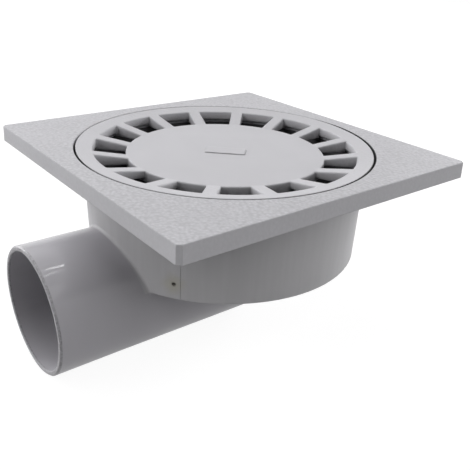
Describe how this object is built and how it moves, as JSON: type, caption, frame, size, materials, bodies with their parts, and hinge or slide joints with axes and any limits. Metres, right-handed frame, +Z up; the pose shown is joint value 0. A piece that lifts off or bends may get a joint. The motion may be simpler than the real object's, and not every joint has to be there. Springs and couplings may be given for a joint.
{
  "type": "floor drain",
  "caption": "Trapped plastic floor drain: square plate with a round slotted grate, tapered cup with a bell trap and a horizontal outlet pipe.",
  "frame": {"origin": "on the cup's axis, in the plane of the plate's underside, which beds on the floor", "axes": "+Z up, square to the plate; the outlet pipe points along -X; the plate's sides lie along X and Y"},
  "size_m": [0.2341, 0.2056, 0.1142],
  "materials": {
    "body_plastic": "moulded light grey plastic, finely grained on the plate and smoother on the pipe",
    "grate_plastic": "moulded light grey plastic, finely grained ring and smooth disc",
    "bell_plastic": "moulded grey plastic"
  },
  "bodies": {
    "root": {"body": "body_plastic", "grate": "grate_plastic", "bell": "bell_plastic"}
  },
  "joints": []
}
